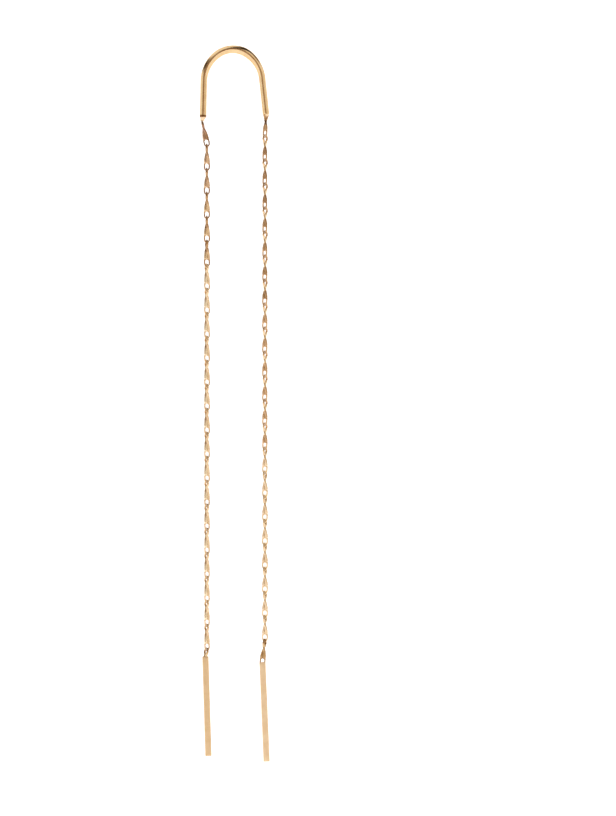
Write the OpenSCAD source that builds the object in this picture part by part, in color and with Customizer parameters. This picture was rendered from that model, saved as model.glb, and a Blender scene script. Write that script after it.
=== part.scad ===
/* [Arch] */
// Diameter of the arch's round wire in its legs
leg_wire_d = 1.04; // [0.9:0.02:1.1]
// Diameter of the same wire over the crown, where it is a little thicker
crown_wire_d = 1.22; // [1.1:0.02:1.28]
// Radius of the crown, to the middle of the wire
crown_r = 3.93; // [3.7:0.01:4.2]
// Angle that the crown takes up on each side of its top
crown_angle = 36; // [30:1:42]
// Radius of the flatter shoulders below the crown, to the middle of the wire
shoulder_r = 5.23; // [4.8:0.01:5.6]
// Outward slant of each leg, in degrees
leg_flare = 3.75; // [2:0.25:5]
// Length of the straight part of each leg
leg_length = 5.54; // [5:0.02:7]
// Lean of the hanging arch towards its right leg, in degrees
arch_lean = 2.4; // [1:0.1:3.5]
// How far the solder reaches below the left leg
left_solder = 0.62; // [0.6:0.02:0.8]
// Sideways step from the left leg's end to the tip of its solder
left_solder_step = -0.2; // [-0.24:0.02:0]
// How far the solder reaches below the right leg
right_solder = 0.3; // [0.2:0.02:0.5]

/* [Strands] */
// Number of whole eyes down each strand, the soldered first link's among them
links = 22; // [8:1:28]
// Distance from one eye to the next
pitch = 3.66; // [3.6:0.02:3.8]
// Place of the left strand beside the arch's middle
left_strand_x = -3.82; // [-4.1:0.02:-3.7]
// Place of the right strand beside the arch's middle
right_strand_x = 5.04; // [4.8:0.02:5.1]
// Drop from the end of the left leg to the left strand's first eye
left_first_drop = 3.72; // [3.66:0.02:3.76]
// Drop from the end of the right leg to the right strand's first eye
right_first_drop = 2.74; // [2.6:0.02:2.9]
// How far the upper links of the left strand are turned about the strand, in degrees
left_upper_turn = -4; // [-20:1:20]
// How far the middle links of the left strand are turned about the strand, in degrees
left_middle_turn = 28; // [0:1:45]
// How far the lower links of the left strand are turned about the strand, in degrees
left_lower_turn = 36; // [10:1:50]
// How far the upper links of the right strand are turned about the strand, in degrees
right_upper_turn = -48; // [-60:1:-30]
// How far the middle links of the right strand are turned about the strand, in degrees
right_middle_turn = -38; // [-45:1:0]
// How far the lower links of the right strand are turned about the strand, in degrees
right_lower_turn = -24; // [-30:1:20]
// Lean of the left strand's middle and lower links, in degrees; above 0 the eye is to the left
left_lean = -1.25; // [-1.25:0.25:1.25]
// Lean of the right strand's upper and middle links, in degrees; above 0 the eye is to the left
right_lean = 1.25; // [-1.25:0.25:1.25]

/* [Link] */
// Thickness of the link's wire in the plane of each of its loops
link_wire = 0.21; // [0.2:0.01:0.22]
// Depth of the flattened wire round the wide eye
eye_depth = 0.2; // [0.18:0.01:0.22]
// Width of the wide eye, over its wire
eye_width = 0.98; // [0.96:0.01:1.02]
// Distance from the eye's middle down to the middle of the wire below it
eye_drop = 0.7; // [0.68:0.01:0.74]
// Depth of the two legs that are pressed together between the loops
body_depth = 0.34; // [0.3:0.01:0.38]
// Width of the narrow loop, over its wire
loop_width = 0.94; // [0.9:0.01:0.98]
// Depth of the flattened wire at the foot of the narrow loop
neck_depth = 0.36; // [0.32:0.01:0.38]
// Depth of the flattened wire at the top of the narrow loop, where it hangs in the eye above
loop_depth = 0.19; // [0.17:0.01:0.2]
// Clear gap that a hanging link keeps above the wire that it hangs on
joint_gap = 0.12; // [0.1:0.01:0.14]

/* [Bars] */
// Width of the flat bars
bar_width = 0.95; // [0.9:0.05:1]
// Thickness of the flat bars
bar_depth = 0.6; // [0.5:0.05:0.8]
// Length of each bar
bar_length = 15.15; // [10:0.05:20]
// Radius of the bars' long edges
bar_edge = 0.1; // [0.06:0.01:0.15]
// Drop from the left strand's last eye to the top of its bar
left_bar_drop = 1.66; // [1.6:0.02:1.8]
// Drop from the right strand's last eye to the top of its bar
right_bar_drop = 3.9; // [3.84:0.02:4]
// Sideways step from the left strand to the top of its bar
left_bar_step = -0.22; // [-0.24:0.02:0]
// Sideways step from the right strand to the top of its bar
right_bar_step = -0.38; // [-0.4:0.02:-0.2]
// Lean of the left bar, in degrees, with its foot to the right
left_bar_lean = 1.75; // [0:0.05:3]
// Lean of the right bar, in degrees, with its foot to the right
right_bar_lean = 2.4; // [0:0.05:3]

/* [Hidden] */
$fn = 64;
polished_gold = "#e3b06a";
link_gold = "#d6b084";
satin_gold = "#e6c293";

function mix(a, b, share) = a + (b - a) * share;
function unit(v) = v / norm(v);

// A wire is drawn through rings: each ring has its middle, the direction of the wire there, the normal of
// the plane that the wire bends in, its thickness in that plane and its depth across it
function ring(mid, along, normal, thickness, depth, sides) = let (
    outward = unit(cross(normal, along)),
    across = cross(along, outward)
) [for (j = [0 : sides - 1]) let (a = 360 * j / sides)
    mid + outward * cos(a) * thickness / 2 + across * sin(a) * depth / 2];
function ring_faces(rings, sides, k) = let (here = k * sides, next = ((k + 1) % rings) * sides)
    [for (j = [0 : sides - 1], half = [0, 1]) let (turn = (j + 1) % sides)
        half == 0 ? [here + j, next + j, next + turn] : [here + j, next + turn, here + turn]];
function end_faces(rings, sides) =
    [[for (j = [0 : sides - 1]) j], [for (j = [1 : sides]) rings * sides - j]];

// The arch's middle line, in the arch's own upright frame: the origin is the underside of the crown
leg_wire_r = leg_wire_d / 2;
crown_mid = [0, crown_wire_d / 2 - crown_r];
shoulder_mid = crown_mid + (crown_r - shoulder_r) * [sin(crown_angle), cos(crown_angle)];
shoulder_end = shoulder_mid + shoulder_r * [cos(leg_flare), sin(leg_flare)];
leg_end = shoulder_end + leg_length * [sin(leg_flare), -cos(leg_flare)];
crown_steps = 4;
shoulder_steps = 5;
half_arch = concat(
    [for (i = [0 : crown_steps]) let (a = crown_angle * i / crown_steps)
        crown_mid + crown_r * [sin(a), cos(a)]],
    [for (i = [1 : shoulder_steps]) let (a = mix(crown_angle, 90 - leg_flare, i / shoulder_steps))
        shoulder_mid + shoulder_r * [sin(a), cos(a)]],
    [leg_end]
);
arch_last = len(half_arch) - 1;
arch_line = concat(
    [for (i = [arch_last : -1 : 1]) [-half_arch[i][0], 0, half_arch[i][1]]],
    [for (p = half_arch) [p[0], 0, p[1]]]
);
arch_rings = len(arch_line);
arch_sides = 14;
// The wire thins over each shoulder; here is how far ring k lies down one, from 0 to 1
function down_shoulder(k) = max(0, min(1, (abs(k - arch_last) - crown_steps) / shoulder_steps));
function arch_wire_d(k) = mix(crown_wire_d, leg_wire_d, down_shoulder(k));
arch_points = [for (k = [0 : arch_rings - 1])
    let (along = arch_line[min(k + 1, arch_rings - 1)] - arch_line[max(k - 1, 0)])
    each ring(arch_line[k], unit(along), [0, 1, 0], arch_wire_d(k), arch_wire_d(k), arch_sides)];
arch_faces = concat(
    [for (k = [0 : arch_rings - 2]) each ring_faces(arch_rings, arch_sides, k)],
    end_faces(arch_rings, arch_sides)
);

// Where a leg's end hangs once the arch leans; side is -1 for the left leg and 1 for the right one
function hanging_end(side) = [
    side * leg_end[0] * cos(arch_lean) - leg_end[1] * sin(arch_lean),
    side * leg_end[0] * sin(arch_lean) + leg_end[1] * cos(arch_lean)
];
left_end = hanging_end(-1);
right_end = hanging_end(1);
left_tip = left_end + [left_solder_step, -left_solder];
right_tip = right_end - [0, right_solder];
left_first_z = left_end[1] - left_first_drop;
right_first_z = right_end[1] - right_first_drop;

// Each station along one half of a link's wire, from the foot of the eye to the top of the narrow loop
function station(height, offset, thickness, depth, turn) = [height, offset, thickness, depth, turn];
function height(s) = s[0];
function offset_of(s) = s[1];
function thickness(s) = s[2];
function depth(s) = s[3];
function turn(s) = s[4];

// Both loops are a little squarer than an ellipse
roundness = 2 / 2.6;
arc_steps = 3;
slit = 0.015;
eye_half = eye_width / 2;
loop_half = loop_width / 2;
loop_top = pitch - eye_drop + link_wire + joint_gap;
loop_side = loop_top - 0.68;
twist_foot = 0.43;
twist_top = loop_side - 0.45;
twist_growth = 1.9;
function twist(z) = let (share = max(0, min(1, (z - twist_foot) / (twist_top - twist_foot))))
    -90 * pow(share, twist_growth);

// The legs between the two loops: height, half-width over both legs, half the space between them and depth.
// They close above the eye, twist by a quarter turn together and part again below the narrow loop.
leg_rows = [
    [0.22, eye_half, 0.24, mix(eye_depth, body_depth, 0.3)],
    [0.43, eye_half, slit, mix(eye_depth, body_depth, 0.7)],
    [0.8, eye_half - 0.025, slit, body_depth],
    [1.2, eye_half - 0.075, slit, body_depth],
    [1.65, eye_half - 0.12, slit, body_depth],
    [twist_top, loop_half - 0.16, slit, neck_depth]
];

half_link = concat(
    [for (i = [0 : arc_steps]) let (a = 90 * i / arc_steps)
        station(-eye_drop * pow(cos(a), roundness), (eye_half - link_wire / 2) * pow(sin(a), roundness),
            link_wire, eye_depth, 0)],
    [for (row = leg_rows) station(row[0], (row[1] + row[2]) / 2, row[1] - row[2], row[3], twist(row[0]))],
    [for (i = [0 : arc_steps]) let (a = 90 * i / arc_steps)
        station(mix(loop_side, loop_top, pow(sin(a), roundness)),
            (loop_half - link_wire / 2) * pow(cos(a), roundness), link_wire,
            mix(neck_depth, loop_depth, sin(a)), -90)]
);

// The whole wire goes up one leg, over the narrow loop and down the other leg, half a turn away
top_station = len(half_link) - 1;
stations = concat(half_link, [for (i = [top_station - 1 : -1 : 1]) half_link[i]]);
link_rings = len(stations);
function leg_side(k) = k <= top_station ? 1 : -1;
function wire_mid(k) = let (s = stations[k], r = leg_side(k) * offset_of(s))
    [r * cos(turn(s)), r * sin(turn(s)), height(s)];

// Six points round the wire at each station, with a flat on the front and on the back
link_sides = 6;
link_points = [for (k = [0 : link_rings - 1]) let (
        s = stations[k],
        along = wire_mid((k + 1) % link_rings) - wire_mid((k + link_rings - 1) % link_rings)
    ) each ring(wire_mid(k), unit(along), [-sin(turn(s)), cos(turn(s)), 0], thickness(s),
        depth(s) / cos(180 / link_sides), link_sides)];
link_faces = [for (k = [0 : link_rings - 1]) each ring_faces(link_rings, link_sides, k)];

// The turn of each strand's links: number of the link and turn there, evenly mixed in between
left_turns = [
    [4, left_upper_turn], [7, left_middle_turn], [13, left_middle_turn], [18, left_lower_turn]
];
right_turns = [
    [4, right_upper_turn], [8, right_middle_turn], [14, right_middle_turn], [18, right_lower_turn]
];
function left_turn(k) = lookup(k, left_turns);
function right_turn(k) = lookup(k, right_turns);

// The lean of each strand's links, in the same way
left_leans = [[4, 0], [7, left_lean]];
right_leans = [[13, right_lean], [16, 0]];

function left_eye_z(k) = left_first_z - pitch * (k - 1);
function right_eye_z(k) = right_first_z - pitch * (k - 1);

function link_name(side, k) = str(side, "_link_", k < 10 ? "0" : "", k);
free_links = [2 : links];

module chain_link() {
    polyhedron(points = link_points, faces = link_faces);
}

// A link whose narrow loop is soldered below a leg's end. It tilts, so the lowest point of its round eye
// lies beside the eye's foot, and that point is on the strand's line.
module first_link(tip, strand_x, first_z, about) {
    foot_z = first_z - eye_drop;
    tilt = atan2(tip[0] - strand_x, tip[1] - foot_z);
    translate([strand_x - (eye_half - link_wire / 2) * sin(tilt), 0, foot_z])
        rotate([0, tilt, 0])
            translate([0, 0, eye_drop])
                rotate([0, 0, about])
                    chain_link();
}

// Solder that runs from inside a leg's end down over the top of the first link
module solder(leg_end_at, tip) {
    overlap = 0.25;
    reach = norm(leg_end_at - tip);
    tilt = atan2(leg_end_at[0] - tip[0], leg_end_at[1] - tip[1]);
    translate([tip[0], 0, tip[1]])
        rotate([0, tilt, 0])
            cylinder(r1 = leg_wire_r * 0.4, r2 = leg_wire_r * 0.86, h = reach + overlap, $fn = 12);
}

module ear_arch() {
    color(polished_gold) {
        rotate([0, -arch_lean, 0])
            polyhedron(points = arch_points, faces = arch_faces);
        solder(left_end, left_tip);
        solder(right_end, right_tip);
        first_link(left_tip, left_strand_x, left_first_z, left_turn(1));
        first_link(right_tip, right_strand_x, right_first_z, right_turn(1));
    }
}

// A link leans about its middle, so that the places where it hangs and holds stay in line
module free_link(strand_x, eye_z, about, lean) {
    half = (loop_top - eye_drop) / 2;
    color(link_gold)
        translate([strand_x, 0, eye_z + half])
            rotate([0, lean, 0])
                translate([0, 0, -half])
                    rotate([0, 0, about])
                        chain_link();
}

// A flat bar with rounded long edges, hanging from the middle of its top
module flat_bar() {
    translate([0, 0, -bar_length])
        linear_extrude(bar_length) {
            square([bar_width - 2 * bar_edge, bar_depth], center = true);
            square([bar_width, bar_depth - 2 * bar_edge], center = true);
            for (x = [-1, 1], y = [-1, 1])
                translate([x * (bar_width / 2 - bar_edge), y * (bar_depth / 2 - bar_edge)])
                    circle(r = bar_edge);
        }
}

// A bar with the strand's last link soldered in its top; the link hangs in the last whole eye
module hung_bar(strand_x, last_eye_z, drop, step, lean, about) {
    loop_z = last_eye_z - pitch + loop_top;
    hang_length = loop_z - (last_eye_z - drop);
    tilt = atan2(-step, hang_length);
    sunk = 0.5;
    color(satin_gold) {
        translate([strand_x + step, 0, last_eye_z - drop])
            rotate([0, -lean, 0])
                flat_bar();
        translate([strand_x, 0, loop_z])
            rotate([0, tilt, 0])
                intersection() {
                    translate([0, 0, -loop_top])
                        rotate([0, 0, about])
                            chain_link();
                    translate([-bar_width, -bar_width, -hang_length - sunk])
                        cube([2 * bar_width, 2 * bar_width, hang_length + link_wire + sunk]);
                }
    }
}

module left_bar() {
    hung_bar(left_strand_x, left_eye_z(links), left_bar_drop, left_bar_step, left_bar_lean,
        left_turn(links + 1));
}

module right_bar() {
    hung_bar(right_strand_x, right_eye_z(links), right_bar_drop, right_bar_step, right_bar_lean,
        right_turn(links + 1));
}

ear_arch();
for (k = free_links)
    free_link(left_strand_x, left_eye_z(k), left_turn(k), lookup(k, left_leans));
for (k = free_links)
    free_link(right_strand_x, right_eye_z(k), right_turn(k), lookup(k, right_leans));
left_bar();
right_bar();
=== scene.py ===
import math

import bmesh
import bpy
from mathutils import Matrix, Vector


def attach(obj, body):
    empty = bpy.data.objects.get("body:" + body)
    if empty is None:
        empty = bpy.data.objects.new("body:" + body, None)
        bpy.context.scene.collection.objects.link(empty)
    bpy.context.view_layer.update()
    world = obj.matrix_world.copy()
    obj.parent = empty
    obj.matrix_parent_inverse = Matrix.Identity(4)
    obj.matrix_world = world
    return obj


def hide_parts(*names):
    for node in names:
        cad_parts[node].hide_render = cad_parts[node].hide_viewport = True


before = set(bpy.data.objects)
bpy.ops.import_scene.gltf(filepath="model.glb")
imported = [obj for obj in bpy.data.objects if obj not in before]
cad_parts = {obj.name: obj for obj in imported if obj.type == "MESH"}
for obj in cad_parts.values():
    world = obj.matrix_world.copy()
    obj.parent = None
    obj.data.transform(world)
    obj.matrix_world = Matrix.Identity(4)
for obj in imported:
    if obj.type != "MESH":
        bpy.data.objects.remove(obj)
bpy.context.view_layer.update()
MM = 0.001

# Sizes in millimetres and degrees, the same as in the part's source

# The arch: round wire, thicker over its crown, with flatter shoulders and straight legs that flare
LEG_WIRE_R = 0.52
CROWN_WIRE_R = 0.61
CROWN_R = 3.93
CROWN_ANGLE = 36
SHOULDER_R = 5.23
LEG_FLARE = 3.75
LEG_LENGTH = 5.54
ARCH_LEAN = 2.4
# From each leg's end to the tip of its solder: sideways and down
SOLDER_TIP = {"left": (-0.2, 0.62), "right": (0, 0.3)}

# The strands: whole eyes in each, their distance, each strand's place, and the drop to its first eye
LINKS = 22
PITCH = 3.66
STRAND_X = {"left": -3.82, "right": 5.04}
FIRST_DROP = {"left": 3.72, "right": 2.74}
# The turn of each strand's links: number of the link and turn there, evenly mixed in between
TURNS = {
    "left": [(4, -4), (7, 28), (13, 28), (18, 36)],
    "right": [(4, -48), (8, -38), (14, -38), (18, -24)],
}
# The lean of each strand's links, in the same way; above 0 the eye is to the left
LEANS = {"left": [(4, 0), (7, -1.25)], "right": [(13, 1.25), (16, 0)]}

# The link: a wide eye below, two legs pressed together and twisted, and a narrow loop above
LINK_WIRE = 0.21
EYE_DEPTH = 0.2
EYE_HALF = 0.49
EYE_DROP = 0.7
BODY_DEPTH = 0.34
LOOP_HALF = 0.47
NECK_DEPTH = 0.36
LOOP_DEPTH = 0.19
JOINT_GAP = 0.12
# Power of the curves of its loops and its wire's section: 2 is an ellipse, more is boxier
SQUARENESS = 2.6
ROUNDNESS = 2 / SQUARENESS
# Heights above the eye's middle
LOOP_TOP = PITCH - EYE_DROP + LINK_WIRE + JOINT_GAP
LOOP_SIDE = LOOP_TOP - 0.68
TWIST_FOOT = 0.43
TWIST_TOP = LOOP_SIDE - 0.45
# How late the twist comes: 1 is even all the way up
TWIST_GROWTH = 1.9

# The bars: flat strip with the strand's last link in its top
BAR_HALF_WIDTH = 0.475
BAR_HALF_DEPTH = 0.3
BAR_LENGTH = 15.15
BAR_EDGE = 0.1
BAR_DROP = {"left": 1.66, "right": 3.9}
BAR_STEP = {"left": -0.22, "right": -0.38}
BAR_LEAN = {"left": 1.75, "right": 2.4}


def mix(a, b, share):
    return a + (b - a) * share


def ease(share):
    share = max(0.0, min(1.0, share))
    return share * share * (3 - 2 * share)


def sind(angle):
    return math.sin(math.radians(angle))


def cosd(angle):
    return math.cos(math.radians(angle))


def quarter(steps):
    """The angles of a quarter turn."""
    return [90 * i / steps for i in range(steps + 1)]


def about_y(point, angle):
    """Turned about Y as OpenSCAD's rotate([0, angle, 0]) turns it."""
    x, y, z = point
    return Vector((x * cosd(angle) + z * sind(angle), y, -x * sind(angle) + z * cosd(angle)))


def about_z(point, angle):
    x, y, z = point
    return Vector((x * cosd(angle) - y * sind(angle), x * sind(angle) + y * cosd(angle), z))


def slant(run, rise):
    """Lean of a line to the right of straight up."""
    return math.degrees(math.atan2(run, rise))


# Pieces


def piece(name, points, faces, material, nodes):
    """A smooth mesh, given in millimetres, that stands for CAD nodes and rides on the body."""
    mesh = bpy.data.meshes.new(name)
    mesh.from_pydata([tuple(Vector(p) * MM) for p in points], [], faces)
    mesh.validate()
    mesh.update()
    for polygon in mesh.polygons:
        polygon.use_smooth = True
    made = bpy.data.objects.new(name, mesh)
    bpy.context.scene.collection.objects.link(made)
    mesh.materials.append(material)
    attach(made, "root")
    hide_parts(*nodes)
    return made


def loft(rings, closed):
    """Points and faces through rings that have the same number of points."""
    sides = len(rings[0])
    points = [p for ring in rings for p in ring]
    faces = []
    spans = len(rings) if closed else len(rings) - 1
    for k in range(spans):
        here, there = k * sides, ((k + 1) % len(rings)) * sides
        for j in range(sides):
            turn = (j + 1) % sides
            faces.append((here + j, there + j, there + turn, here + turn))
    if not closed:
        last = (len(rings) - 1) * sides
        faces.append(tuple(range(sides)))
        faces.append(tuple(last + j for j in reversed(range(sides))))
    return points, faces


def wire_ring(middle, along, normal, thickness, depth, sides, squareness):
    """A ring round a flattened wire: squareness 2 is an ellipse, more is boxier."""
    outward = normal.cross(along).normalized()
    across = along.cross(outward)
    ring = []
    for j in range(sides):
        a = 2 * math.pi * j / sides
        c, s = math.cos(a), math.sin(a)
        ring.append(
            middle
            + outward * math.copysign(abs(c) ** (2 / squareness), c) * thickness / 2
            + across * math.copysign(abs(s) ** (2 / squareness), s) * depth / 2
        )
    return ring


def rounded_rim(radius, steps):
    """Rows of an end's rounded rim: distance from the end and step in from the side."""
    return [(radius * (1 - cosd(a)), radius * (1 - sind(a))) for a in quarter(steps)]


def above(points, faces, height):
    """The part of a closed mesh above a height, with its cuts closed."""
    shape = bmesh.new()
    corners = [shape.verts.new(p) for p in points]
    for face in faces:
        shape.faces.new([corners[i] for i in face])
    cut = bmesh.ops.bisect_plane(
        shape,
        geom=shape.verts[:] + shape.edges[:] + shape.faces[:],
        plane_co=(0, 0, height),
        plane_no=(0, 0, -1),
        clear_outer=True,
    )
    rim = [e for e in cut["geom_cut"] if isinstance(e, bmesh.types.BMEdge)]
    bmesh.ops.holes_fill(shape, edges=rim, sides=0)
    shape.verts.index_update()
    kept = [v.co.copy() for v in shape.verts], [[v.index for v in f.verts] for f in shape.faces]
    shape.free()
    return kept


# The arch's wire

# Bending has spread the wire a little on the crown's right side. First come the middle of that stretch and
# its reach to either side, in crown halves, then how much wider the wire is and how far it has moved out
SPREAD_MIDDLE = 0.85
SPREAD_REACH = 0.8
SPREAD_WIDTH = 0.05
SPREAD_SHIFT = 0.02
# The wire's width and depth in its radii: a hair under 2, since the solid's wire has flat sides that a
# fully round one would pass
WIRE_WIDTH = 1.985
WIRE_DEPTH = 1.94
CUT_RIM = 0.07


def arch_half_line(crown_steps, shoulder_steps, leg_steps):
    """Middle line of the upright arch's right half, from the top of the crown to the leg's end."""
    crown_mid = Vector((0, 0, CROWN_WIRE_R - CROWN_R))
    towards_shoulder = Vector((sind(CROWN_ANGLE), 0, cosd(CROWN_ANGLE)))
    shoulder_mid = crown_mid + (CROWN_R - SHOULDER_R) * towards_shoulder
    shoulder_end = shoulder_mid + SHOULDER_R * Vector((cosd(LEG_FLARE), 0, sind(LEG_FLARE)))
    down_leg = Vector((sind(LEG_FLARE), 0, -cosd(LEG_FLARE)))
    line = []
    for i in range(crown_steps + 1):
        a = CROWN_ANGLE * i / crown_steps
        line.append(crown_mid + CROWN_R * Vector((sind(a), 0, cosd(a))))
    for i in range(1, shoulder_steps + 1):
        a = mix(CROWN_ANGLE, 90 - LEG_FLARE, i / shoulder_steps)
        line.append(shoulder_mid + SHOULDER_R * Vector((sind(a), 0, cosd(a))))
    for i in range(1, leg_steps + 1):
        line.append(shoulder_end + LEG_LENGTH * i / leg_steps * down_leg)
    return line


def leg_end(side):
    """Where a leg's end hangs once the arch leans."""
    end = arch_half_line(4, 4, 1)[-1]
    return about_y((end.x if side == "right" else -end.x, 0, end.z), -ARCH_LEAN)


def solder_tip(side):
    across, down = SOLDER_TIP[side]
    return leg_end(side) + Vector((across, 0, -down))


def arch_rings(sides=48, steps=16):
    """Rings round the leaning arch's wire, from its left end to its right one."""
    half = arch_half_line(steps, steps, steps)
    line = [Vector((-p.x, 0, p.z)) for p in reversed(half[1:])] + half
    top = len(half) - 1
    normal = Vector((0, 1, 0))
    rings = []
    for k, middle in enumerate(line):
        along = (line[min(k + 1, len(line) - 1)] - line[max(k - 1, 0)]).normalized()
        down_shoulder = max(0.0, min(1.0, (abs(k - top) - steps) / steps))
        spread = ease(1 - abs((k - top) / steps - SPREAD_MIDDLE) / SPREAD_REACH)
        middle = middle - normal.cross(along) * SPREAD_SHIFT * spread
        rings.append((middle, along, mix(CROWN_WIRE_R, LEG_WIRE_R, down_shoulder), SPREAD_WIDTH * spread))
    # The cut ends have a small rounded rim
    ends = []
    for (middle, along, r, _), way in ((rings[0], 1), (rings[-1], -1)):
        rim = rounded_rim(CUT_RIM, 5)
        ends.append([(middle + along * way * inward, along, r - inset, 0) for inward, inset in rim])
    start, stop = ends
    made = []
    for middle, along, r, spread in start + rings[1:-1] + stop[::-1]:
        ring = wire_ring(middle, along, normal, WIRE_WIDTH * r + 2 * spread, WIRE_DEPTH * r, sides, 2)
        made.append([about_y(p, -ARCH_LEAN) for p in ring])
    return made


# The link's wire, upright, with the middle of its eye at the origin

# The legs between the loops: height, half-width over both legs, half the space between them, depth.
# Pressing has sunk the legs a little into each other
CREASE = -0.02
LEG_ROWS = [
    (0.22, EYE_HALF, 0.24, mix(EYE_DEPTH, BODY_DEPTH, 0.3)),
    (TWIST_FOOT, EYE_HALF, 0.0, mix(EYE_DEPTH, BODY_DEPTH, 0.7)),
    (0.8, EYE_HALF - 0.025, CREASE, BODY_DEPTH),
    (1.2, EYE_HALF - 0.075, CREASE, BODY_DEPTH),
    (1.65, EYE_HALF - 0.12, CREASE, BODY_DEPTH),
    (TWIST_TOP, LOOP_HALF - 0.16, 0.0, NECK_DEPTH),
]


def twist(z):
    """How far the link is twisted at a height: none at the eye, a quarter turn at the narrow loop."""
    share = max(0.0, min(1.0, (z - TWIST_FOOT) / (TWIST_TOP - TWIST_FOOT)))
    return -90 * share**TWIST_GROWTH


def half_link(arc_steps):
    """Height, offset, thickness and depth of the wire, from the eye's foot to the narrow loop's top."""
    eye = [
        (
            -EYE_DROP * max(0.0, cosd(a)) ** ROUNDNESS,
            (EYE_HALF - LINK_WIRE / 2) * sind(a) ** ROUNDNESS,
            LINK_WIRE,
            EYE_DEPTH,
        )
        for a in quarter(arc_steps)
    ]
    legs = [(z, (outer + inner) / 2, outer - inner, depth) for z, outer, inner, depth in LEG_ROWS]
    loop = [
        (
            mix(LOOP_SIDE, LOOP_TOP, sind(a) ** ROUNDNESS),
            (LOOP_HALF - LINK_WIRE / 2) * max(0.0, cosd(a)) ** ROUNDNESS,
            LINK_WIRE,
            mix(NECK_DEPTH, LOOP_DEPTH, sind(a)),
        )
        for a in quarter(arc_steps)
    ]
    return eye + legs + loop


def catmull_rom(p, q, r, s, t):
    return 0.5 * (2 * q + (r - p) * t + (2 * p - 5 * q + 4 * r - s) * t * t + (3 * q - p - 3 * r + s) * t**3)


def smooth_between(stations, fine):
    """The stations of a closed loop as a smooth curve, with fine steps from each to the next."""
    made = []
    for k in range(len(stations)):
        near = [stations[(k + i) % len(stations)] for i in (-1, 0, 1, 2)]
        for i in range(fine):
            made.append(tuple(catmull_rom(*values, i / fine) for values in zip(*near)))
    return made


def link_rings(sides=16, arc_steps=4, fine=3):
    """Rings round the link's wire, all the way round its closed loop."""
    half = half_link(arc_steps)
    other_half = [(z, -x, thickness, depth) for z, x, thickness, depth in reversed(half[1:-1])]
    line = []
    for z, x, thickness, depth in smooth_between(half + other_half, fine):
        line.append((about_z((x, 0, z), twist(z)), about_z((0, 1, 0), twist(z)), thickness, depth))
    rings = []
    for k, (middle, normal, thickness, depth) in enumerate(line):
        along = (line[(k + 1) % len(line)][0] - line[k - 1][0]).normalized()
        normal = (normal - along * normal.dot(along)).normalized()
        rings.append(wire_ring(middle, along, normal, thickness, depth, sides, SQUARENESS))
    return rings


LINK = loft(link_rings(), closed=True)

# A link's painted light and shade changes at these heights: fine wire round the eye, pressed legs, their
# twisted waist and the narrow loop's fine wire
EYE_TOP = 0.3
WAIST_FOOT = 1.45
LOOP_FOOT = LOOP_SIDE - 0.1


def link_piece(name, shape, place, shading, nodes, waist=(WAIST_FOOT, LOOP_FOOT)):
    """A link with its four materials of painted light and shade: its left and right legs, the fine wire of
    its loops and its waist.
    """
    points, faces = shape
    made = piece(name, [place(p) for p in points], faces, shading[0], nodes)
    for other in shading[1:]:
        made.data.materials.append(other)
    # Each face takes the painted light or shade of its part: the fine wire of eye and loop, the waist, or
    # the right leg apart from the left
    for polygon, face in zip(made.data.polygons, faces):
        middle = sum((points[i] for i in face), Vector()) / len(face)
        untwisted = about_z(middle, -twist(middle.z))
        if not EYE_TOP < middle.z < waist[1]:
            polygon.material_index = 2
        elif middle.z > waist[0]:
            polygon.material_index = 3
        elif untwisted.x > 0:
            polygon.material_index = 1
    return made


def from_table(table, k):
    """The value for link k in a table of links and values, evenly mixed in between."""
    if k <= table[0][0]:
        return table[0][1]
    for (low, before), (high, after) in zip(table, table[1:]):
        if k <= high:
            return mix(before, after, (k - low) / (high - low))
    return table[-1][1]


def eye_z(side, k):
    """Height of the middle of eye k of a strand."""
    return leg_end(side).z - FIRST_DROP[side] - PITCH * (k - 1)


# Finishes


def linear(hex_colour):
    """An sRGB hex colour as linear numbers."""
    channels = [int(hex_colour[i : i + 2], 16) / 255 for i in (1, 3, 5)]
    return tuple(c / 12.92 if c <= 0.04045 else ((c + 0.055) / 1.055) ** 2.4 for c in channels) + (1.0,)


def add(tree, kind, settings=None, inputs=None):
    """A node with its settings and its inputs, each a value or another node's output."""
    made = tree.nodes.new(kind)
    for key, value in (settings or {}).items():
        setattr(made, key, value)
    for key, value in (inputs or {}).items():
        if isinstance(value, bpy.types.NodeSocket):
            tree.links.new(value, made.inputs[key])
        else:
            made.inputs[key].default_value = value
    return made


# Millimetres: how broad the drifts of the gold's tone are, and how deep its working marks
TONE_DRIFT = 10 / 9
MARK_DEPTH = 0.01


def worked_gold(name, light, dark, roughness, grain, relief):
    """Worked gold alloy: its tone drifts a little along the piece, so that it doesn't look like plastic, and
    marks of the given grain in millimetres break up its shine and its skin."""
    made = bpy.data.materials.new(name)
    made.use_nodes = True
    tree = made.node_tree
    tree.nodes.clear()
    place = add(tree, "ShaderNodeTexCoord").outputs["Object"]
    drift = add(
        tree,
        "ShaderNodeTexNoise",
        inputs={"Vector": place, "Scale": 1 / (TONE_DRIFT * MM), "Detail": 3.0},
    ).outputs["Fac"]
    marks = add(
        tree,
        "ShaderNodeTexNoise",
        inputs={"Vector": place, "Scale": 1 / (grain * MM), "Detail": 2.0},
    ).outputs["Fac"]
    tone = add(tree, "ShaderNodeValToRGB", inputs={"Fac": drift})
    for stop, position, colour in zip(tone.color_ramp.elements, (0.35, 0.65), (dark, light)):
        stop.position = position
        stop.color = linear(colour)
    polish = add(
        tree,
        "ShaderNodeMapRange",
        inputs={"Value": marks, "To Min": roughness * 0.8, "To Max": roughness * 1.25},
    ).outputs["Result"]
    skin = add(
        tree,
        "ShaderNodeBump",
        inputs={"Height": marks, "Strength": relief, "Distance": MARK_DEPTH * MM},
    ).outputs["Normal"]
    shader = add(
        tree,
        "ShaderNodeBsdfPrincipled",
        inputs={"Base Color": tone.outputs["Color"], "Metallic": 1.0, "Roughness": polish, "Normal": skin},
    ).outputs["BSDF"]
    add(tree, "ShaderNodeOutputMaterial", inputs={"Surface": shader})
    return made


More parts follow.
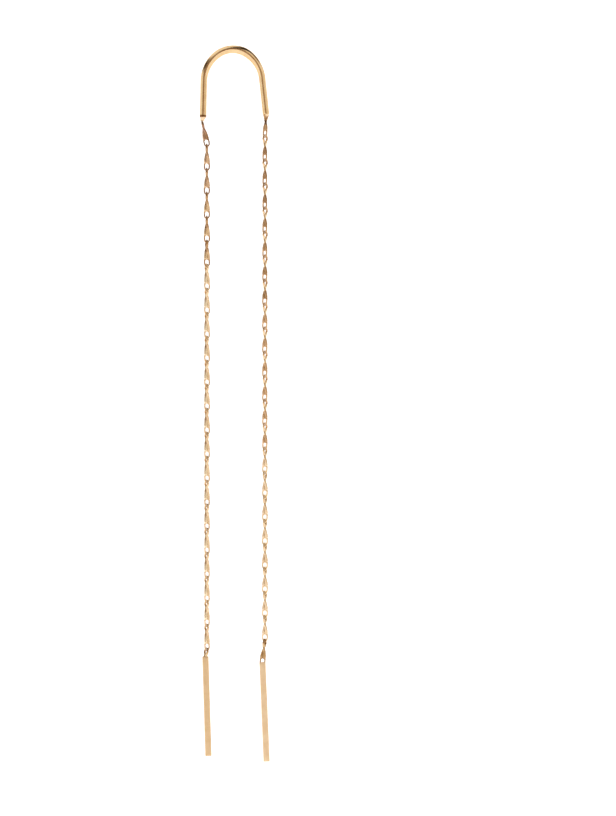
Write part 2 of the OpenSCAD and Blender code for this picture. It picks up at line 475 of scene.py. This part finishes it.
# Drawn and polished wire: crisp bright and dark lines run along the arch
polished_wire = worked_gold("polished_gold_wire", "#efcfa0", "#e8c594", 0.16, 0.2, 0.05)
# The same wire with painted shade: a dull brown darkening painted on at the left leg's end
shaded_leg_end_wire = worked_gold("gold_wire_painted_shade", "#94683e", "#805630", 0.2, 0.2, 0.05)
# Solder that has flowed and set: a slightly rough bead that ends the dark line of the leg; its pale colour
# is partly the solder's own and partly a painted highlight
gold_solder = worked_gold("gold_solder", "#f6d9b4", "#eecfa8", 0.3, 0.1, 0.2)
# Rolled strip with a satin finish: an even sheen with no clear reflection, so that the bars look flat
satin_bars = {
    "left": worked_gold("satin_gold_left_bar", "#efcfa4", "#e8c698", 0.38, 0.09, 0.15),
    # The right bar is the same strip as the left, with a lighter colour painted on as painted light
    "right": worked_gold("satin_gold_right_bar_painted_lighter", "#f6dab4", "#f0d0a6", 0.38, 0.09, 0.15),
}

# Fine drawn wire, pressed flat and twisted. The light and shade its facets catch is painted into its colour:
# a link's legs, loops and waist each get a painted tone of their own, on the left strand the right leg is
# painted darker than the left, and the right strand is painted lighter on its way down. For each strand from
# the top down: last link of its group, then the lighter and the darker tone of its left leg, its right leg,
# its fine wire and its waist
LINK_PAINTED_SHADING = {
    "left": [
        (1, "#e6c4a4 #d0aa8a", "#b48c6c #9a7454", "#ac8664 #92704e", "#b89078 #9c765c"),
        (3, "#fbe0c0 #ebc8a4", "#d8b490 #c29c78", "#b48a62 #9c754e", "#c49e78 #ac8864"),
        (6, "#f8dcb4 #e8cca4", "#d8b890 #c6a27a", "#bd9262 #a67c50", "#c8a278 #b28a62"),
        (22, "#fae8ca #eed6b2", "#e0c49e #d0b088", "#e2c298 #d0ae82", "#ecd2ac #dcbc96"),
        (23, "#c8a274 #b08a5c", "#b48c60 #9c754a", "#b89264 #a07a4e", "#dcbe94 #caa87c"),
    ],
    "right": [
        (1, "#c8a47c #b48e66", "#c8a47c #b48e66", "#c89e70 #b0885c", "#7a5230 #684224"),
        (4, "#aa845e #946e48", "#aa845e #946e48", "#cca476 #b68e62", "#ecd0aa #dcbb92"),
        (8, "#b38e66 #9c764e", "#b38e66 #9c764e", "#d2aa7c #bc9366", "#ecd0aa #dcbb92"),
        (14, "#cca67e #b89268", "#cca67e #b89268", "#deb88c #c8a276", "#eed2ac #dec096"),
        (22, "#e6ccaa #d8ba94", "#e6ccaa #d8ba94", "#e6ca9f #d4b488", "#ecd2ae #dcbe98"),
        (23, "#c8a274 #b08a5c", "#c8a274 #b08a5c", "#b89264 #a07a4e", "#dcbe94 #caa87c"),
    ],
}
# The parts of a link, each with its own painted light and shade
LINK_PARTS = ("pressed_gold_left_leg", "pressed_gold_right_leg", "fine_gold_wire", "twisted_gold_waist")


def strand_painted_shadings(side):
    """Last link and the four materials of painted light and shade of each group of a strand's links."""
    groups = []
    for last, *tones in LINK_PAINTED_SHADING[side]:
        shadings = [
            worked_gold(f"{side}_{part}_to_{last}", *pair.split(), 0.22, 0.12, 0.08)
            for part, pair in zip(LINK_PARTS, tones)
        ]
        groups.append((last, shadings))
    return groups


link_painted_shadings = {side: strand_painted_shadings(side) for side in LINK_PAINTED_SHADING}


def painted_shading_of(side, k):
    return next(shadings for last, shadings in link_painted_shadings[side] if k <= last)


# The arch with its solder and first links

# How far the painted shade reaches up the left leg
PAINTED_SHADE_REACH = 0.35
# How far the solder covers the leg, its width in the leg's widths up there and down at its tip, and how
# much its last ring draws in
SOLDER_COVER = 0.2
SOLDER_FULL = 0.9
SOLDER_SLIM = 0.5
SOLDER_BLUNT = 0.8
# On the right strand's first link the waist's painted shade sits lower down
FIRST_SHADED_WAIST = {"left": (WAIST_FOOT, LOOP_FOOT), "right": (1.15, 1.9)}


def arch_wire():
    points, faces = loft(arch_rings(), closed=False)
    made = piece("arch_wire", points, faces, polished_wire, ["ear_arch"])
    made.data.materials.append(shaded_leg_end_wire)
    painted_shade_top = leg_end("left").z + PAINTED_SHADE_REACH
    # Faces of the left leg below this height take the painted shade
    for polygon in made.data.polygons:
        if polygon.center.x < 0 and polygon.center.z < painted_shade_top * MM:
            polygon.material_index = 1


def solder_rings(side, sides=32, steps=10):
    """Rings of the bead of solder, from over the leg's end down to its tip."""
    end, tip = leg_end(side), solder_tip(side)
    tilt = slant(end.x - tip.x, end.z - tip.z)
    rings = []
    for i in range(steps + 1):
        share = i / steps
        z = mix((end - tip).length + SOLDER_COVER, 0, share)
        r = LEG_WIRE_R * mix(SOLDER_FULL, SOLDER_SLIM, ease(share))
        if i == steps:
            r *= SOLDER_BLUNT
        ring = [about_z((r, 0, z), -360 * j / sides) for j in range(sides)]
        rings.append([about_y(p, tilt) + tip for p in ring])
    return rings


def solder_bead(side):
    points, faces = loft(solder_rings(side), closed=False)
    piece(f"{side}_solder", points, faces, gold_solder, ["ear_arch"])


def first_link(side):
    """The link that the solder holds: it runs from the solder's tip to the strand's first eye."""
    tip = solder_tip(side)
    foot_z = eye_z(side, 1) - EYE_DROP
    tilt = slant(tip.x - STRAND_X[side], tip.z - foot_z)
    foot = Vector((STRAND_X[side] - (EYE_HALF - LINK_WIRE / 2) * sind(tilt), 0, foot_z))

    def place(point):
        turned = about_z(point, from_table(TURNS[side], 1))
        return about_y(turned + Vector((0, 0, EYE_DROP)), tilt) + foot

    link_piece(f"{side}_link_01", LINK, place, painted_shading_of(side, 1), ["ear_arch"], FIRST_SHADED_WAIST[side])


arch_wire()
for side in ("left", "right"):
    solder_bead(side)
    first_link(side)

# The free links


def free_link(side, k):
    """A link that leans about its middle, so that the places where it hangs and holds stay in line."""
    half = Vector((0, 0, (LOOP_TOP - EYE_DROP) / 2))
    middle = Vector((STRAND_X[side], 0, eye_z(side, k))) + half
    turn, lean = from_table(TURNS[side], k), from_table(LEANS[side], k)
    name = f"{side}_link_{k:02d}"
    link_piece(
        f"{name}_wire",
        LINK,
        lambda point: about_y(about_z(point, turn) - half, lean) + middle,
        painted_shading_of(side, k),
        [name],
    )


for side in ("left", "right"):
    for k in range(2, LINKS + 1):
        free_link(side, k)

# The bars, each with the strand's last link in its top

BAR_END_RIM = 0.05
# How deep the last link's cut foot sits in the bar
LINK_SUNK = 0.5


def bar_top(side):
    return Vector((STRAND_X[side] + BAR_STEP[side], 0, eye_z(side, LINKS) - BAR_DROP[side]))


def flat_bar_rings(rim_steps=4, stretches=40, edge_steps=5):
    """Rings of a bar with rounded long edges and rounded ends, from its top down."""
    rim = rounded_rim(BAR_END_RIM, rim_steps)
    levels = [(-z, inset) for z, inset in rim]
    levels += [(-BAR_LENGTH * i / stretches, 0.0) for i in range(1, stretches)]
    levels += [(-BAR_LENGTH + z, inset) for z, inset in reversed(rim)]
    rings = []
    for z, inset in levels:
        ring = []
        for cx, cy, start in ((1, 1, 0), (-1, 1, 90), (-1, -1, 180), (1, -1, 270)):
            for a in quarter(edge_steps):
                x = cx * (BAR_HALF_WIDTH - BAR_EDGE) + (BAR_EDGE - inset) * cosd(start + a)
                y = cy * (BAR_HALF_DEPTH - BAR_EDGE) + (BAR_EDGE - inset) * sind(start + a)
                ring.append(Vector((x, y, z)))
        rings.append(ring[::-1])
    return rings


def flat_bar(side):
    points, faces = loft(flat_bar_rings(), closed=False)
    top = bar_top(side)
    points = [about_y(p, -BAR_LEAN[side]) + top for p in points]
    piece(f"{side}_flat_bar", points, faces, satin_bars[side], [f"{side}_bar"])


def last_link(side):
    """The link that is soldered into the bar's top, and cut off a little below it."""
    k = LINKS + 1
    loop_z = eye_z(side, LINKS) - PITCH + LOOP_TOP
    hang_length = loop_z - bar_top(side).z
    tilt = slant(-BAR_STEP[side], hang_length)
    hook = Vector((STRAND_X[side], 0, loop_z))
    turn = from_table(TURNS[side], k)
    link_piece(
        f"{side}_link_{k}",
        above(*LINK, LOOP_TOP - hang_length - LINK_SUNK),
        lambda point: about_y(about_z(point, turn) - Vector((0, 0, LOOP_TOP)), tilt) + hook,
        painted_shading_of(side, k),
        [f"{side}_bar"],
    )


for side in ("left", "right"):
    flat_bar(side)
    last_link(side)

# Camera

# The photo's size in pixels, the pixel where the crown's underside is, and how many mm a pixel spans there
PHOTO_WIDTH = 616
PHOTO_HEIGHT = 816
CROWN_PIXEL = (231.9, 53.3)
PIXEL = 0.1525
# A long lens, since the photo shows no perspective: it is level, and square to the arch
LENS = 130
SENSOR = 36


def photo_camera():
    across = (PHOTO_WIDTH / 2 - CROWN_PIXEL[0]) * PIXEL
    up = (CROWN_PIXEL[1] - PHOTO_HEIGHT / 2) * PIXEL
    away = PHOTO_HEIGHT * PIXEL * LENS / SENSOR
    data = bpy.data.cameras.new("camera")
    data.lens = LENS
    data.sensor_width = SENSOR
    data.clip_start = 0.01
    data.clip_end = 10
    camera = bpy.data.objects.new("camera", data)
    camera.location = Vector((across, -away, up)) * MM
    camera.rotation_euler = (math.radians(90), 0, 0)
    bpy.context.scene.collection.objects.link(camera)
    bpy.context.scene.camera = camera


photo_camera()

# Floor

# The paper is lit from behind too, so that it looks white
PAPER_GLOW = 0.5


def sweep_floor():
    """A pale floor that curves up into a backdrop."""
    half_width, front, cove, depth, height = 1500, -1200, 300, 900, 1500
    floor_z = -135
    profile = [(front, floor_z), (depth - cove, floor_z)]
    profile += [(depth - cove + cove * sind(a), floor_z + cove * (1 - cosd(a))) for a in quarter(9)[1:]]
    profile += [(depth, height)]
    points = [(x, y, z) for y, z in profile for x in (-half_width, half_width)]
    faces = [(2 * k, 2 * k + 1, 2 * k + 3, 2 * k + 2) for k in range(len(profile) - 1)]
    mesh = bpy.data.meshes.new("floor")
    mesh.from_pydata([tuple(Vector(p) * MM) for p in points], [], faces)
    for polygon in mesh.polygons:
        polygon.use_smooth = True
    floor = bpy.data.objects.new("floor", mesh)
    bpy.context.scene.collection.objects.link(floor)
    # Matt white paper: nothing on it draws the eye
    paper = bpy.data.materials.new("white_paper")
    paper.use_nodes = True
    shader = paper.node_tree.nodes["Principled BSDF"]
    shader.inputs["Base Color"].default_value = linear("#fbfbfb")
    shader.inputs["Roughness"].default_value = 0.9
    shader.inputs["Emission Color"].default_value = linear("#ffffff")
    shader.inputs["Emission Strength"].default_value = PAPER_GLOW
    mesh.materials.append(paper)


sweep_floor()

# Light

# Patches of the tent: direction, where it is even, where it ends (degrees from its middle), colour
TENT_PATCHES = [
    # The brownish front of the tent with the darker opening for the camera, and a grey side on the right
    ((0, -1, 0), 10, 42, "#c2ae94"),
    ((0.03, -1, -0.05), 8, 22, "#92704c"),
    ((0.88, -0.47, 0), 8, 24, "#e0d8ce"),
    # The dark ceiling, from above the camera over the earring to the back
    ((-0.05, -0.91, 0.41), 4, 11, "#4e3018"),
    ((0.07, -0.74, 0.67), 7, 14, "#3a200c"),
    ((0.23, -0.42, 0.875), 12, 19, "#2a1606"),
    ((0.41, -0.24, 0.88), 12, 19, "#2a1606"),
    ((0.56, -0.07, 0.83), 13, 20, "#2a1606"),
    ((0.68, -0.31, 0.66), 7, 16, "#7a5c40"),
    ((0.41, 0.26, 0.875), 16, 24, "#221205"),
    ((0.54, 0.26, 0.8), 17, 25, "#221205"),
    ((0.5, 0.58, 0.64), 21, 32, "#221205"),
    ((0.34, 0.82, 0.46), 14, 27, "#2a1a0c"),
    # A dark stand beside the tent's opening, from the front to the back on the left
    ((-0.4, -0.88, 0.245), 5, 12, "#5a3414"),
    ((-0.634, -0.67, 0.388), 7, 12, "#3a1e08"),
    ((-0.79, -0.375, 0.484), 8, 13, "#2a1606"),
    ((-0.852, -0.035, 0.522), 8, 13, "#2a1606"),
    ((-0.81, 0.31, 0.497), 9, 14, "#2a1606"),
    ((-0.653, 0.643, 0.4), 9, 16, "#2a1606"),
    # Light from the open side below
    ((-0.44, -0.75, -0.5), 22, 40, "#ffffff"),
]


def studio_light():
    """A white light tent with soft patches, each over the ones before it; the camera sees plain white."""
    world = bpy.data.worlds.new("studio")
    bpy.context.scene.world = world
    world.use_nodes = True
    tree = world.node_tree
    tree.nodes.clear()
    look = add(tree, "ShaderNodeTexCoord").outputs["Generated"]
    glow = (1, 1, 1, 1)
    for towards, inner, outer, colour in TENT_PATCHES:
        facing = add(
            tree,
            "ShaderNodeVectorMath",
            {"operation": "DOT_PRODUCT"},
            {0: look, 1: Vector(towards).normalized()},
        ).outputs["Value"]
        patch = add(
            tree,
            "ShaderNodeMapRange",
            {"interpolation_type": "SMOOTHSTEP"},
            {"Value": facing, "From Min": cosd(outer), "From Max": cosd(inner)},
        ).outputs["Result"]
        # 6 and 7 are the colours that it mixes, and 2 is the mixed colour
        mixed = add(tree, "ShaderNodeMix", {"data_type": "RGBA"}, {0: patch, 6: glow, 7: linear(colour)})
        glow = mixed.outputs[2]
    tent = add(tree, "ShaderNodeBackground", inputs={"Color": glow, "Strength": 1.0}).outputs[0]
    plain = add(tree, "ShaderNodeBackground", inputs={"Color": (1, 1, 1, 1), "Strength": 1.0}).outputs[0]
    seen = add(tree, "ShaderNodeLightPath").outputs["Is Camera Ray"]
    both = add(tree, "ShaderNodeMixShader", inputs={0: seen, 1: tent, 2: plain}).outputs[0]
    add(tree, "ShaderNodeOutputWorld", inputs={"Surface": both})


studio_light()
bpy.context.scene.view_settings.view_transform = "Standard"
